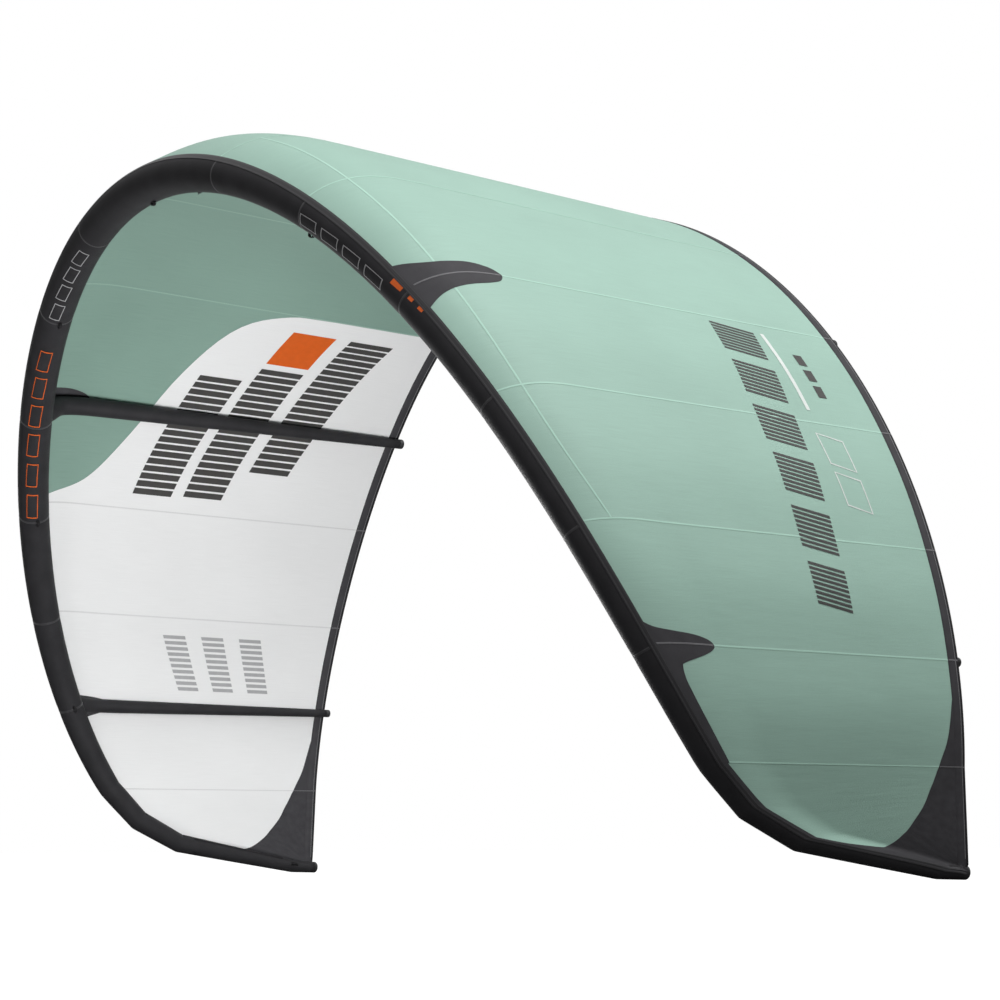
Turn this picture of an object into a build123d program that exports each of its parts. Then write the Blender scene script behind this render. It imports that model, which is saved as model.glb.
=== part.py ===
from build123d import *
from math import cos, radians, sin, sqrt
import os

# A leading-edge-inflatable kitesurf kite, arched with its wingtips down, in millimetres.
# Origin: the middle of the leading edge. +X to the kite's right-hand wingtip, +Y to the trailing edge, +Z up.

# Leading edge. s is the length along it from the middle, and w = s / KNUCKLE.
KNUCKLE = 4570                # s at the first sharp turn of the wingtip
DROOP = (85, -14, 19)         # degrees below level: DROOP[0] w + DROOP[1] w^3 + DROOP[2] w^5
SWEEP = (25, -11, 20)         # degrees towards the trailing edge, by the same rule
TIP_RUNS = ((232, 92, 44), (258, 93, 62), (662, 98, 79), (128, 90, 87))  # length, droop, sweep
HALF_LENGTH = KNUCKLE + sum(run[0] for run in TIP_RUNS)
TUBE_RADIUS = 84
TUBE_TAPER = 55               # radius lost by the wingtip, as the cube of s

# Canopy
ROOT_CHORD = 2170
CHORD_LOSS = (610, 380)       # chord lost by the knuckle, as w^2 and as w^4
TOE_IN = (2.9, -1.3)          # degrees the chords turn inwards, as w and as w^3
TWIST = -0.5                  # degrees the chords point below level
SKIN_RISE = (0.113, -0.07)    # slope of the flat rear of the canopy to the chord, plain and as w^2
WINGTIP_CORNER = Vector(22, 5, 25)  # from the leading edge's end to the canopy's corner
FRONT_SHARE = (0.213, 0.4)    # share of the chord that is curved, and what it gains along the wingtip
SEAM_ANGLE = (-31, 73, -174)  # degrees round the tube from its outermost line to the canopy's front seam
CLOTH = 2                     # thickness drawn for the canopy
BAND_WIDTH = 52               # trailing-edge band
PATCH_START, PATCH_GAIN = 0.88, 0.55  # share of the chord where the wingtip patch starts, and what it gains
GAP = 1                       # air between soft skins that lie on one another

# Stations along the leading edge
C1, C2, S1, P1, P2, S2 = 766, 1531, 2320, 2940, 3558, 4076
VALVE_STRETCH = (300, 460)    # the straight stretch that carries the inflate valve

# Struts, by the spot they start from
STRUT_RADII = {"inner": (50, 25), "outer": (38, 20)}  # at the root and at the trailing edge
STRUT_TAIL = 24               # how far a strut's cap stands out behind the canopy

SLEEVE_WALL = 1
BLADDER_WALL = 1
PATCH = 1

# Inflate valve, heights above the sleeve
VALVE_ANGLE = 135             # degrees round the tube from its outermost line: inwards and rearwards
BORE_RADIUS = 11
NECK_RADIUS = 15
NECK_TOP = 11.5
FLANGE_TOP = -8
CAP_HINGE = (-24, 12.5)       # where the cap's pin passes, across the valve and above the sleeve
FLAP_HINGE = (14.4, -12.4)

# Webbing loops
LOOP_LENGTH, LOOP_WIDTH, LOOP_HEIGHT, WEBBING = 34, 14, 18, 2.5
LOOP_ANGLE = 180

# Bladder zip on the straight of the wingtip
ZIP_ANGLE = -135
ZIP_WIDTH = 12


def mix(a, b, share):
    return a + (b - a) * share


def heading(droop, sweep):
    a, b = radians(droop), radians(sweep)
    return Vector(cos(a) * cos(b), sin(b), -sin(a) * cos(b))


def smooth_heading(s):
    w = s / KNUCKLE
    droop = DROOP[0] * w + DROOP[1] * w**3 + DROOP[2] * w**5
    sweep = SWEEP[0] * w + SWEEP[1] * w**3 + SWEEP[2] * w**5
    return heading(droop, sweep)


def smooth_axis(s):
    """The curved stretch's axis, summed from the middle in short steps."""
    steps = max(1, round(s / 20))
    point = Vector(0, 0, 0)
    for i in range(steps):
        point += smooth_heading((i + 0.5) * s / steps) * (s / steps)
    return point


def axis_and_tangent(s):
    """Axis point and direction of travel at s, for the right-hand wing. A knuckle gives the mean direction."""
    if s < KNUCKLE:
        return smooth_axis(s), smooth_heading(s)
    point, before, start = smooth_axis(KNUCKLE), smooth_heading(KNUCKLE), KNUCKLE
    for length, droop, sweep in TIP_RUNS:
        after = heading(droop, sweep)
        if s - start < 1:
            return point, (before + after).normalized()
        if s <= start + length - 1 or start + length >= HALF_LENGTH:
            return point + after * (s - start), after
        point, before, start = point + after * length, after, start + length
    return point, before


def flip(vector):
    return Vector(-vector.X, vector.Y, vector.Z)


def tube_radius(s):
    return TUBE_RADIUS - TUBE_TAPER * (abs(s) / HALF_LENGTH) ** 3


def trailing_point(s):
    """Where the chord that starts at s ends, on the right-hand wing."""
    if s > KNUCKLE:
        share = (s - KNUCKLE) / (HALF_LENGTH - KNUCKLE)
        return mix(trailing_point(KNUCKLE), axis_and_tangent(HALF_LENGTH)[0] + WINGTIP_CORNER, share)
    w = s / KNUCKLE
    chord = ROOT_CHORD - CHORD_LOSS[0] * w**2 - CHORD_LOSS[1] * w**4
    toe = radians(TOE_IN[0] * w + TOE_IN[1] * w**3)
    twist = radians(TWIST)
    return smooth_axis(s) + Vector(-sin(toe), cos(toe) * cos(twist), cos(toe) * sin(twist)) * chord


class Station:
    """A cut through the kite at s: axis point, direction of travel, chord direction and outward direction."""

    def __init__(self, s):
        self.s = s
        side = abs(s)
        self.axis, self.tangent = axis_and_tangent(side)
        self.trailing = trailing_point(side)
        if s < 0:
            self.axis, self.trailing = flip(self.axis), flip(self.trailing)
            self.tangent = flip(self.tangent) * -1
        self.chord = (self.trailing - self.axis).length
        self.back = (self.trailing - self.axis).normalized()
        self.out = self.tangent.cross(self.back).normalized()
        self.square = self.out.cross(self.tangent).normalized()
        self.radius = tube_radius(s)
        share = side / HALF_LENGTH
        self.seam = radians(SEAM_ANGLE[0] + SEAM_ANGLE[1] * share + SEAM_ANGLE[2] * share * (1 - share))
        self.rise = SKIN_RISE[0] + SKIN_RISE[1] * (side / KNUCKLE) ** 2
        past = max(0, side - KNUCKLE) / (HALF_LENGTH - KNUCKLE)
        self.front = FRONT_SHARE[0] + FRONT_SHARE[1] * past**3

    def at(self, along, height):
        """The point this share of the chord back and this far outward."""
        return self.axis + self.back * (along * self.chord) + self.out * height

    def on_tube(self, angle, lift):
        """A point above the tube's skin, in the plane of this cut, angle degrees round from the outermost line."""
        reach = (self.radius + lift) / self.back.dot(self.square)
        return self.axis + self.out * ((self.radius + lift) * cos(angle)) + self.back * (reach * sin(angle))

    def skin_height(self, along, lift=0.0):
        return self.rise * self.chord * (1 - along) + lift

    def front_curve(self, lift):
        """Four control points of the canopy's curved front, leaving the tube along its skin."""
        start = self.on_tube(self.seam, GAP + lift)
        end = self.at(self.front, self.skin_height(self.front, lift))
        across = cos(self.seam) / self.back.dot(self.square)
        leave = (self.back * across - self.out * sin(self.seam)).normalized()
        arrive = (self.at(1, 0) - self.at(0, self.skin_height(0))).normalized()
        reach = (end - start).length * 0.38
        return start, start + leave * reach, end - arrive * reach, end

    def plane(self):
        return Plane(origin=self.axis, x_dir=self.out, z_dir=self.tangent)

    def seat(self, degrees):
        """A workplane on the tube's skin: x along the tube, z straight out of it."""
        away = self.out * cos(radians(degrees)) + self.square * sin(radians(degrees))
        return Plane(origin=self.axis + away * self.radius, x_dir=self.tangent, z_dir=away)

    def sheet(self, low, high, to_share):
        """The cut through a sheet that lies between two lifts, from the front seam to this share of the chord."""
        inner, outer = self.front_curve(low), self.front_curve(high)
        inner_end = self.at(to_share, self.skin_height(to_share, low))
        outer_end = self.at(to_share, self.skin_height(to_share, high))
        edges = [
            Bezier(*inner),
            Line(inner[3], inner_end),
            Line(inner_end, outer_end),
            Line(outer_end, outer[3]),
            Bezier(*reversed(outer)),
            Line(outer[0], inner[0]),
        ]
        return Face(Wire(edges))

    def strip(self, low, high, from_share, to_share):
        """The same through a sheet on the flat rear of the canopy."""
        corners = [(from_share, low), (to_share, low), (to_share, high), (from_share, high)]
        points = [self.at(share, self.skin_height(share, lift)) for share, lift in corners]
        return Face(Wire.make_polygon(points, close=True))

    def front_point(self, t, lift):
        """A point on the curved front, t from 0 at the seam to 1 at the flat rear, and the way out there."""
        curve = Bezier(*self.front_curve(0))
        run = curve % t
        away = (self.out * run.dot(self.back) - self.back * run.dot(self.out)).normalized()
        return curve @ t + away * lift

    def front_cut(self, low, high):
        """The cut through a patch on the curved front."""
        steps = [i / 6 for i in range(7)]
        inner = Spline(*[self.front_point(t, low) for t in steps])
        outer = Spline(*[self.front_point(t, high) for t in steps])
        return Face(Wire([inner, Line(inner @ 1, outer @ 1), outer, Line(outer @ 0, inner @ 0)]))


def tube(stations, shrink=0.0):
    """A run of straight cones through these stations."""
    cuts = [cut.plane() * Circle(cut.radius - shrink) for cut in stations]
    return loft(cuts, ruled=True)


def sleeve(spots, inset=0.0, wall=SLEEVE_WALL):
    stations = [Station(s) for s in spots]
    return tube(stations, inset) - tube(stations, inset + wall)


def canopy_panel(spots):
    cuts = [Station(s) for s in spots]
    faces = [cut.sheet(0, CLOTH, 1 - BAND_WIDTH / cut.chord) for cut in cuts]
    return loft(faces, ruled=True)


def mirrored(shape):
    return mirror(shape, about=Plane.YZ)


nodes = {}


def both_sides(name, shape):
    nodes[name + "_right"] = shape
    nodes[name + "_left"] = mirrored(shape)


def pair(name, shape):
    """The same piece on both wings, kept as one node."""
    nodes[name] = Compound([*shape.solids(), *mirrored(shape).solids()])


def knuckles():
    spots = [KNUCKLE]
    for run in TIP_RUNS:
        spots.append(spots[-1] + run[0])
    return spots


def halves(*spots):
    """These spots with one more half-way between each two."""
    result = [spots[0]]
    for a, b in zip(spots, spots[1:]):
        result += [(a + b) / 2, b]
    return result


K1, K2, K3, K4, END = knuckles()
WINGTIP_SPOTS = halves(K1, K2, K3) + halves(K3, (K3 + K4) / 2, K4)[1:]
MIDDLE_SPOTS = [-C1, -VALVE_STRETCH[1], -VALVE_STRETCH[0], 0, *VALVE_STRETCH, C1]
ROOTS = {"inner": halves(C2, S1, P1)[1:4], "outer": halves(P2, S2, K1)[1:4]}


def end_cap(point, direction, radius, length):
    """A short rounded plug on the end of a tube."""
    cap = Plane(origin=point, z_dir=direction) * extrude(Circle(radius), length)
    return fillet(cap.edges().sort_by(lambda edge: (edge.center() - point).dot(direction))[-1], radius * 0.5)


def trailing_band(spots):
    cuts = [Station(s) for s in spots]
    return loft([cut.strip(0, CLOTH, 1 - BAND_WIDTH / cut.chord, 1) for cut in cuts], ruled=True)


def wingtip_patch():
    """The cloth on both faces of the wingtip's rear corner, which reaches further forward towards the tip."""
    sides = []
    for low in (CLOTH + GAP, -GAP - PATCH):
        cuts = []
        for cut in [Station(s) for s in WINGTIP_SPOTS]:
            start = PATCH_START - PATCH_GAIN * ((cut.s - K1) / (K4 - K1)) ** 2
            cuts.append(cut.strip(low, low + PATCH, max(start, cut.front + 0.03), 1 - 6 / cut.chord))
        sides.append(loft(cuts, ruled=True))
    return Compound(sides)


def fin_patch(spot, half_width, reach):
    """The fin of cloth over the canopy's front where a strut meets the leading edge."""
    low = CLOTH + GAP
    cuts = [Station(s).front_cut(low, low + PATCH) for s in (spot - half_width, spot, spot + half_width)]
    side = half_width - 1
    edges = [
        Line((-side, -120), (side, -120)),
        ThreePointArc((side, -120), (side * 0.3, reach * 0.3), (0, reach)),
        ThreePointArc((0, reach), (-side * 0.3, reach * 0.3), (-side, -120)),
    ]
    cut = Station(spot)
    outline = Plane(origin=cut.axis, x_dir=cut.tangent, z_dir=cut.out) * Face(Wire(edges))
    return loft(cuts, ruled=True) & extrude(outline, 400, dir=cut.out)


def strut_path(which):
    """Centres and radii of a strut that lies against the canopy, from inside the leading edge to the rear."""
    cut = Station(ROOTS[which][1])
    root, end = STRUT_RADII[which]
    stops = []
    for t in (0.1, 0.2, 0.3, 0.4, 0.5, 0.65, 0.8, 1):
        radius = mix(root, end, cut.front * t)
        stops.append((cut.front_point(t, -GAP - radius), radius))
    stops.append((cut.at(1, cut.skin_height(1, -GAP - end)), end))
    return cut, stops


def strut_tube(which, shrink=0.0):
    cut, stops = strut_path(which)
    centres = [point for point, radius in stops]
    rings = []
    for i, (point, radius) in enumerate(stops):
        ahead = centres[min(i + 1, len(stops) - 1)] - centres[max(i - 1, 0)]
        plane = Plane(origin=point, x_dir=cut.tangent, z_dir=ahead)
        rings.append(plane * Circle(radius - shrink))
    return loft(rings, ruled=True)


def strut(which):
    """A strut's sleeve and its bladder, both cut where they meet the leading edge."""
    leading_edge = tube([Station(s) for s in ROOTS[which]], -GAP)
    sleeve_part = strut_tube(which) - strut_tube(which, SLEEVE_WALL) - leading_edge
    inset = SLEEVE_WALL + GAP
    bladder = strut_tube(which, inset) - strut_tube(which, inset + BLADDER_WALL) - leading_edge
    return sleeve_part, bladder


def strut_cap(which):
    cut, stops = strut_path(which)
    (before, _), (point, radius) = stops[-2:]
    direction = (point - before).normalized()
    return end_cap(point + direction * 0.5, direction, radius, STRUT_TAIL)


def tall(low, high, radius):
    return Pos(0, 0, low) * extrude(Circle(radius), high - low)


def block(x, y, z):
    """A box between three pairs of limits."""
    size = [high - low for low, high in (x, y, z)]
    return Pos(*[(low + high) / 2 for low, high in (x, y, z)]) * Box(*size)


def rod(hinge, radius, half_length):
    """A rod along the tube, across the valve at a hinge."""
    return Pos(0, *hinge) * Rot(0, 90, 0) * Cylinder(radius, 2 * half_length)


def valve_base():
    """Flange inside the bladder, neck through the sleeve, and the lugs that carry the non-return flap."""
    base = tall(FLANGE_TOP - 2.5, FLANGE_TOP, 24) + tall(FLANGE_TOP, NECK_TOP, NECK_RADIUS)
    base += tall(NECK_TOP - 1.5, NECK_TOP, NECK_RADIUS + 1.5)
    base -= tall(FLANGE_TOP - 3, NECK_TOP + 1, BORE_RADIUS)
    for side in (-1, 1):
        lug = sorted((side * 3.4, side * 5.4))
        base += block(lug, (12.6, 16.2), (-14, FLANGE_TOP - 2.5))
    return base - rod(FLAP_HINGE, 0.9, 8)


def valve_flap():
    disc = tall(-13.4, -11.1, 12.6) + block((-3, 3), (10, 14), (-13.4, -11.4))
    return disc + rod(FLAP_HINGE, 0.8, 5.4)


def valve_collar():
    """The collar that turns on the neck to unlock the valve, with grips and the cap's two ears."""
    collar = tall(3, 9.8, 21)
    for quarter in (0, 180):
        collar += Rot(0, 0, quarter) * block((18, 25), (-4, 4), (3, 8))
    collar += block((-7, 7), (-27, -17), (3, 9))
    for side in (-1, 1):
        collar += block(sorted((side * 4.2, side * 7)), (-27, -21), (8, 15.3))
    collar -= tall(2, 12, NECK_RADIUS + 0.08)
    return collar - rod(CAP_HINGE, 1.05, 9)


def valve_cap():
    cap = tall(NECK_TOP + 0.2, 15, 18) + block((-4, 4), (-24, -15), (NECK_TOP + 0.2, 14.2))
    cap += Pos(0, 0, NECK_TOP - 2.3) * Cone(BORE_RADIUS - 0.8, BORE_RADIUS - 0.2, 5)
    cap += rod(CAP_HINGE, 2.5, 4) + block((-5, 5), (16, 24), (12, 14))
    return cap - rod(CAP_HINGE, 1.1, 9)


def webbing_loop():
    """A rectangle of webbing that stands on the sleeve, open across the tube."""
    ring = Box(LOOP_LENGTH, LOOP_WIDTH, LOOP_HEIGHT) - Box(LOOP_LENGTH - 2 * WEBBING, 20, LOOP_HEIGHT - 2 * WEBBING)
    return Pos(0, 0, 1.5 + LOOP_HEIGHT / 2) * ring


def loop_at(s):
    return Station(s).seat(LOOP_ANGLE) * webbing_loop()


def zip_plane():
    """On the wingtip's straight: x back along the tube, z out of it, at the zip's front end."""
    start, end = Station(K3 + 70).seat(ZIP_ANGLE), Station(K4 - 70).seat(ZIP_ANGLE)
    run = end.origin - start.origin
    return Plane(origin=start.origin, x_dir=run, z_dir=run.cross(start.y_dir)), run.length


def zip_tape(length):
    tape = block((0, length), (-ZIP_WIDTH / 2, ZIP_WIDTH / 2), (1.3, 2.5))
    for end in (0, length - 5):
        tape += block((end, end + 5), (-4, 4), (2.5, 5))
    return tape


def zip_slider():
    slider = fillet(block((6, 22), (-5, 5), (2.8, 6)).edges().filter_by(Axis.Z), 3)
    return slider + block((19, 44), (-3, 3), (4.2, 5.6))


# Leading-edge sleeve
valve_seat = Station(sum(VALVE_STRETCH) / 2).seat(VALVE_ANGLE)
valve_hole = valve_seat * tall(-20, 20, NECK_RADIUS + 1)
nodes["leading_edge_middle"] = sleeve(MIDDLE_SPOTS) - valve_hole
both_sides("leading_edge_inner", sleeve(halves(C1, C2, S1)))
both_sides("leading_edge_outer", sleeve(halves(S1, P1, P2, S2)))
both_sides("leading_edge_shoulder", sleeve(halves(S2, K1)))
both_sides("wingtip_elbow", sleeve([K1, K2, K3]))
both_sides("wingtip_tube", sleeve([K3, K4, END]))
tip = Station(END)
both_sides("wingtip_end_cap", end_cap(tip.axis + tip.tangent * 0.5, tip.tangent, tip.radius, 18))

# Bladder
side_spots = [*halves(C1, C2, S1, P1, P2, S2, K1), K2, K3, K4, END - 20]
bladder_side = sleeve(side_spots, SLEEVE_WALL + GAP, BLADDER_WALL)
bladder_middle = sleeve(MIDDLE_SPOTS, SLEEVE_WALL + GAP, BLADDER_WALL) - valve_hole
nodes["leading_edge_bladder"] = bladder_middle + bladder_side + mirrored(bladder_side)

# Canopy panels
nodes["canopy_centre"] = canopy_panel(MIDDLE_SPOTS)
both_sides("canopy_second", canopy_panel(halves(C1, C2)))
both_sides("canopy_third", canopy_panel(halves(C2, S1)))
both_sides("canopy_fourth", canopy_panel(halves(S1, P1)))
both_sides("canopy_fifth", canopy_panel(halves(P1, P2)))
both_sides("canopy_sixth", canopy_panel(halves(P2, S2)))
both_sides("canopy_seventh", canopy_panel(halves(S2, K1)))
wingtip_clearance = tube([Station(s) for s in (K3, K4, END)], -GAP)
both_sides("canopy_wingtip", canopy_panel(WINGTIP_SPOTS) - wingtip_clearance)

# Trailing-edge bands, corner patches and fin patches
middle_half = halves(C1, C2, S1)[1:]
nodes["trailing_band_middle"] = trailing_band([-s for s in reversed(middle_half)] + MIDDLE_SPOTS + middle_half)
both_sides("trailing_band_outer", trailing_band(halves(S1, P1, P2, S2, K1)))
both_sides("trailing_band_wingtip", trailing_band(WINGTIP_SPOTS))
both_sides("wingtip_patch", wingtip_patch())
pair("fin_patches_inner", fin_patch(S1, 190, 420))
pair("fin_patches_outer", fin_patch(S2, 130, 290))

# Struts
for which in ROOTS:
    strut_sleeve, strut_bladder = strut(which)
    both_sides(f"strut_{which}", strut_sleeve)
    pair(f"strut_bladders_{which}", strut_bladder)
    pair(f"strut_caps_{which}", strut_cap(which))

# Inflate valve
nodes["valve_base"] = valve_seat * valve_base()
nodes["valve_flap"] = valve_seat * valve_flap()
nodes["valve_collar"] = valve_seat * valve_collar()
nodes["valve_cap"] = valve_seat * valve_cap()
nodes["valve_hinge_pin"] = valve_seat * rod(CAP_HINGE, 1, 7)

# Loops for the bridle, the rear lines and the leash
bridle_loops = Compound([loop_at(s) for s in (C2, P1, S2)])
pair("bridle_loops", bridle_loops)
pair("rear_line_loops", loop_at(K4))
nodes["leash_loop"] = loop_at(0)

# Zips
plane, zip_length = zip_plane()
both_sides("bladder_zip", plane * zip_tape(zip_length))
both_sides("zip_slider", plane * zip_slider())

os.makedirs("parts", exist_ok=True)
for name, shape in nodes.items():
    export_step(shape, f"parts/{name}.step")
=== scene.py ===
from math import ceil, cos, pi, radians, sin

import bmesh
import bpy
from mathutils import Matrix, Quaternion, Vector


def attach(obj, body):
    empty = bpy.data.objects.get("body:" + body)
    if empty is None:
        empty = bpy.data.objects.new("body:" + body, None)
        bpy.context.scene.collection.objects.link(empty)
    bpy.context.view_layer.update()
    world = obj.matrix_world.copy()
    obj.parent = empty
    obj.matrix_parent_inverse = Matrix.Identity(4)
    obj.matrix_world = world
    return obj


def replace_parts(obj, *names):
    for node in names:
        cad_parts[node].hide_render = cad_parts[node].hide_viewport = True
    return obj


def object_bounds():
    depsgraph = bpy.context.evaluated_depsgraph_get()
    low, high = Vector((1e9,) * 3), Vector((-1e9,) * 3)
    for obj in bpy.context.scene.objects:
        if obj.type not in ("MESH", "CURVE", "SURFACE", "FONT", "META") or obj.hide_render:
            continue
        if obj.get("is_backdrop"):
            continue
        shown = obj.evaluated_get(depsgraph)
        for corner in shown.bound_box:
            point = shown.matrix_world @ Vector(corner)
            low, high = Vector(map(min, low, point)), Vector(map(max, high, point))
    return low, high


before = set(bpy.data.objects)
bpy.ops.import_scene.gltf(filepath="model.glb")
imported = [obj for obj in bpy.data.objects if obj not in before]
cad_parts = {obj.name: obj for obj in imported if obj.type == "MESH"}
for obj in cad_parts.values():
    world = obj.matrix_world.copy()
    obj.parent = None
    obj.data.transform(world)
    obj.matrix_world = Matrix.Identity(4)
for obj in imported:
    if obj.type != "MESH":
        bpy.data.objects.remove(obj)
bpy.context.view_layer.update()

# -------------------- the kite's shape, in metres, as in part.py
# s is the length along the leading edge from its middle, negative on the left-hand wing, and w = s / KNUCKLE.
# Along is a share of the chord, from the leading edge's axis (0) to the trailing edge (1). Angles: degrees.
KNUCKLE = 4.570
DROOP = (85, -14, 19)
SWEEP = (25, -11, 20)
# Each straight run of a wingtip: its length, droop and sweep
TIP_RUNS = ((0.232, 92, 44), (0.258, 93, 62), (0.662, 98, 79), (0.128, 90, 87))
HALF_LENGTH = KNUCKLE + sum(run[0] for run in TIP_RUNS)
TUBE_RADIUS, TUBE_TAPER = 0.084, 0.055
ROOT_CHORD, CHORD_LOSS = 2.170, (0.610, 0.380)
TOE_IN, TWIST = (2.9, -1.3), -0.5
SKIN_RISE = (0.113, -0.07)
WINGTIP_CORNER = Vector((0.022, 0.005, 0.025))
FRONT_SHARE, FRONT_HANDLE = (0.213, 0.4), 0.38
SEAM_ANGLE = (-31, 73, -174)
GAP = 0.001
BILLOW = 0.006

# Seams between panels, by s. The struts lie under S1 and S2: each has its s, root radius and end radius.
C1, C2, S1, P1, P2, S2 = 0.766, 1.531, 2.320, 2.940, 3.558, 4.076
SEAMS = (C1, C2, S1, P1, P2, S2, KNUCKLE)
STRUTS = {"inner": (S1, 0.050, 0.025), "outer": (S2, 0.038, 0.020)}
BAND_WIDTH, HEM_WIDTH = 0.052, 0.010

# The canopy's two faces, above the inner face of the CAD panels, and how far from them its trims lie
INNER_FACE, OUTER_FACE = 0.0004, 0.0016
TRIM_LIFT = 0.0006
TAPE, TRIM = 0.0004, 0.0006
TAPE_WIDTH = 0.008

# The canopy's inner and outer face, and the left-hand and the right-hand wing
FACES = (-1, 1)
SIDES = (-1, 1)
SIDE_NAMES = {-1: "left", 1: "right"}
TUBE_SIDES, STRUT_SIDES = 48, 40


def heading(droop, sweep):
    """A direction outwards along the right-hand wing."""
    a, b = radians(droop), radians(sweep)
    return Vector((cos(a) * cos(b), sin(b), -sin(a) * cos(b)))


def smooth_heading(s):
    w = s / KNUCKLE
    droop = DROOP[0] * w + DROOP[1] * w**3 + DROOP[2] * w**5
    sweep = SWEEP[0] * w + SWEEP[1] * w**3 + SWEEP[2] * w**5
    return heading(droop, sweep)


AXIS_STEPS = 914
AXIS_STEP = KNUCKLE / AXIS_STEPS


def axis_table():
    """The leading edge's axis from the middle to the first knuckle."""
    points = [Vector((0, 0, 0))]
    for i in range(AXIS_STEPS):
        points.append(points[-1] + smooth_heading((i + 0.5) * AXIS_STEP) * AXIS_STEP)
    return points


AXIS = axis_table()


def knuckles():
    spots = [KNUCKLE]
    for run in TIP_RUNS:
        spots.append(spots[-1] + run[0])
    return spots


K1, K2, K3, K4, END = knuckles()


def mix(a, b, share):
    return a + (b - a) * share


def smooth_step(x):
    x = min(1, max(0, x))
    return x * x * (3 - 2 * x)


def axis_point(s):
    """The leading edge's axis on the right-hand wing."""
    if s < KNUCKLE:
        i = int(s / AXIS_STEP)
        return AXIS[i].lerp(AXIS[i + 1], s / AXIS_STEP - i)
    point, start = AXIS[-1], KNUCKLE
    for length, droop, sweep in TIP_RUNS:
        run = min(length, s - start)
        point = point + heading(droop, sweep) * run
        if s <= start + length:
            break
        start += length
    return point


def straight_heading(s):
    """The tube's own direction, which jumps at each knuckle."""
    if s < KNUCKLE:
        return smooth_heading(s)
    for spot, (length, droop, sweep) in zip((K2, K3, K4, END), TIP_RUNS):
        if s < spot:
            return heading(droop, sweep)
    return heading(*TIP_RUNS[-1][1:])


def eased_heading(s):
    """The direction that the canopy follows, which turns evenly from the middle of one run to the next."""
    runs = [smooth_heading(KNUCKLE)] + [heading(droop, sweep) for _, droop, sweep in TIP_RUNS]
    spots = (K1, K2, K3, K4, END)
    if s < KNUCKLE:
        return smooth_heading(s)
    stops = [(K1, runs[0] + runs[1])]
    for i in range(4):
        after = runs[min(i + 2, 4)]
        stops.append(((spots[i] + spots[i + 1]) / 2, runs[i + 1] * 2))
        stops.append((spots[i + 1], runs[i + 1] + after))
    for (a, before), (b, after) in zip(stops, stops[1:]):
        if s <= b:
            return before.lerp(after, (s - a) / (b - a)).normalized()
    return runs[-1]


def tube_radius(s):
    return TUBE_RADIUS - TUBE_TAPER * (abs(s) / HALF_LENGTH) ** 3


def trailing_point(s):
    """The trailing edge on the right-hand wing."""
    if s > KNUCKLE:
        share = (s - KNUCKLE) / (HALF_LENGTH - KNUCKLE)
        return trailing_point(KNUCKLE).lerp(axis_point(HALF_LENGTH) + WINGTIP_CORNER, share)
    w = s / KNUCKLE
    chord = ROOT_CHORD - CHORD_LOSS[0] * w**2 - CHORD_LOSS[1] * w**4
    toe, twist = radians(TOE_IN[0] * w + TOE_IN[1] * w**3), radians(TWIST)
    return axis_point(s) + Vector((-sin(toe), cos(toe) * cos(twist), cos(toe) * sin(twist))) * chord


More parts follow.
